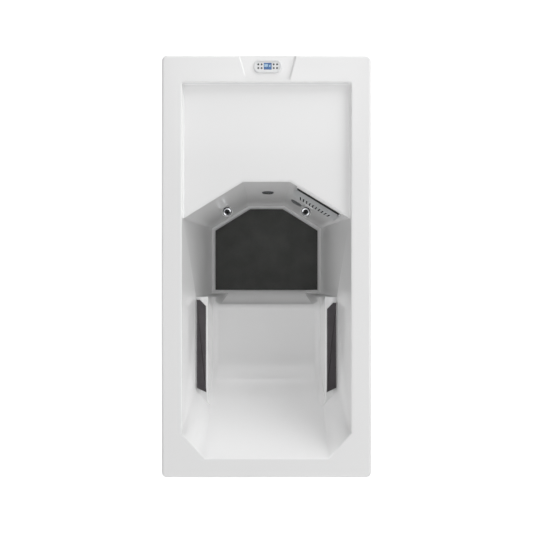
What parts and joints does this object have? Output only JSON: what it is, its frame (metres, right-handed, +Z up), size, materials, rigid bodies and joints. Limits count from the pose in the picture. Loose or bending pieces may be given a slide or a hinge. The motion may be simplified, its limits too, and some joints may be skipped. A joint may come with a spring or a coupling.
{
  "type": "cold plunge tub",
  "caption": "One-person cold plunge tub with seat, arm pads, foot mat, skimmer, jets, keypad and a built-in chiller.",
  "frame": {"origin": "centre of the bottom face of the tub's bounding box", "axes": "+Z up, +Y from the seat towards the control panel, +X to the side with the skimmer"},
  "size_m": [0.97, 1.954, 0.94],
  "materials": {
    "acrylic_white": "gloss",
    "foam_dark": "matte",
    "foam_block": "matte",
    "rubber_black": "matte",
    "plastic_grey": "satin",
    "plastic_white": "satin",
    "plastic_dark": "satin",
    "display_glass": "gloss",
    "chrome": "polished",
    "lens_clear": "gloss",
    "cabinet_grey": "satin",
    "steel": "brushed",
    "timber": "sawn",
    "paper_white": "matte",
    "metal_black": "satin",
    "metal_grey": "satin",
    "aluminium": "satin",
    "handle_red": "satin"
  },
  "bodies": {
    "tub": {"arm_pad_left": "foam_dark", "arm_pad_right": "foam_dark", "base_pan": "plastic_dark", "cable_gland": "plastic_dark", "chiller_base": "metal_grey", "compressor": "metal_black", "condenser_coil": "aluminium", "control_bezel": "plastic_white", "control_box": "plastic_grey", "control_display": "display_glass", "corner_posts": "cabinet_grey", "drain_valve": "plastic_dark", "fan_motor": "metal_black", "fan_shroud": "plastic_dark", "filter_cartridge": "paper_white", "floor_mat": "foam_dark", "foot_block": "foam_block", "frame_rails_long": "timber", "frame_rails_short": "timber", "frame_studs": "timber", "heat_exchanger": "plastic_dark", "jet_body_left": "plastic_white", "jet_body_right": "plastic_white", "light_housing": "plastic_dark", "light_lens": "lens_clear", "ozone_generator": "plastic_white", "panel_equipment_end": "cabinet_grey", "panel_left": "cabinet_grey", "panel_right": "cabinet_grey", "panel_screws": "steel", "panel_seat_end": "cabinet_grey", "pipe_to_chiller": "plastic_white", "pipe_to_jets": "plastic_white", "pipe_to_pump": "plastic_white", "pump_motor": "metal_grey", "pump_wet_end": "plastic_dark", "seat_beam": "timber", "seat_props": "timber", "shell": "acrylic_white", "skimmer_body": "plastic_white", "skimmer_face": "plastic_grey", "skimmer_gasket": "rubber_black", "skimmer_screws": "steel", "suction_body": "plastic_white", "suction_cover": "plastic_grey"},
    "weir_flap": {"weir_flap": "plastic_grey"},
    "condenser_fan": {"condenser_fan": "plastic_dark"},
    "drain_handle": {"drain_handle": "handle_red"},
    "jet_ring_left": {"jet_ring_left": "chrome"},
    "jet_ring_right": {"jet_ring_right": "chrome"},
    "jet_nozzle_left": {"jet_nozzle_left": "plastic_dark"},
    "jet_nozzle_right": {"jet_nozzle_right": "plastic_dark"},
    "button_power": {"button_power": "plastic_dark"},
    "button_pump": {"button_pump": "plastic_dark"},
    "button_up": {"button_up": "plastic_dark"},
    "button_light": {"button_light": "plastic_dark"},
    "button_ozone": {"button_ozone": "plastic_dark"},
    "button_timer": {"button_timer": "plastic_dark"},
    "button_down": {"button_down": "plastic_dark"},
    "button_lock": {"button_lock": "plastic_dark"}
  },
  "joints": [
    {"name": "button_power_press", "type": "slide", "parent": "tub", "child": "button_power", "axis": [0, 0, -1], "range_m": [0, 0.0006], "stiffness_N_per_m": 400, "springref_m": -0.0005},
    {"name": "button_pump_press", "type": "slide", "parent": "tub", "child": "button_pump", "axis": [0, 0, -1], "range_m": [0, 0.0006], "stiffness_N_per_m": 400, "springref_m": -0.0005},
    {"name": "button_up_press", "type": "slide", "parent": "tub", "child": "button_up", "axis": [0, 0, -1], "range_m": [0, 0.0006], "stiffness_N_per_m": 400, "springref_m": -0.0005},
    {"name": "button_light_press", "type": "slide", "parent": "tub", "child": "button_light", "axis": [0, 0, -1], "range_m": [0, 0.0006], "stiffness_N_per_m": 400, "springref_m": -0.0005},
    {"name": "button_ozone_press", "type": "slide", "parent": "tub", "child": "button_ozone", "axis": [0, 0, -1], "range_m": [0, 0.0006], "stiffness_N_per_m": 400, "springref_m": -0.0005},
    {"name": "button_timer_press", "type": "slide", "parent": "tub", "child": "button_timer", "axis": [0, 0, -1], "range_m": [0, 0.0006], "stiffness_N_per_m": 400, "springref_m": -0.0005},
    {"name": "button_down_press", "type": "slide", "parent": "tub", "child": "button_down", "axis": [0, 0, -1], "range_m": [0, 0.0006], "stiffness_N_per_m": 400, "springref_m": -0.0005},
    {"name": "button_lock_press", "type": "slide", "parent": "tub", "child": "button_lock", "axis": [0, 0, -1], "range_m": [0, 0.0006], "stiffness_N_per_m": 400, "springref_m": -0.0005},
    {"name": "weir_flap_swing", "type": "hinge", "parent": "tub", "child": "weir_flap", "pos_m": [0.25243, 0.31951, 0.74975], "axis": [-0.8526, 0.5225, 0], "range_deg": [0, 55]},
    {"name": "jet_ring_left_turn", "type": "hinge", "parent": "tub", "child": "jet_ring_left", "pos_m": [-0.20903, 0.2908, 0.55184], "axis": [0.2092, -0.3414, 0.9164], "range_deg": [0, 90]},
    {"name": "jet_nozzle_left_tilt", "type": "hinge", "parent": "jet_ring_left", "child": "jet_nozzle_left", "pos_m": [-0.21133, 0.29456, 0.54176], "axis": [0.8526, 0.5225, 0], "range_deg": [-15, 15]},
    {"name": "jet_ring_right_turn", "type": "hinge", "parent": "tub", "child": "jet_ring_right", "pos_m": [0.20903, 0.2908, 0.55184], "axis": [-0.2092, -0.3414, 0.9164], "range_deg": [0, 90]},
    {"name": "jet_nozzle_right_tilt", "type": "hinge", "parent": "jet_ring_right", "child": "jet_nozzle_right", "pos_m": [0.21133, 0.29456, 0.54176], "axis": [0.8526, -0.5225, 0], "range_deg": [-15, 15]},
    {"name": "condenser_fan_spin", "type": "hinge", "parent": "tub", "child": "condenser_fan", "pos_m": [-0.2347, 0.8381, 0.1746], "axis": [0, 1, 0], "continuous": true},
    {"name": "drain_handle_turn", "type": "hinge", "parent": "tub", "child": "drain_handle", "pos_m": [0.402, 0.39319, 0.1063], "axis": [0, 0, 1], "range_deg": [-90, 0]}
  ]
}
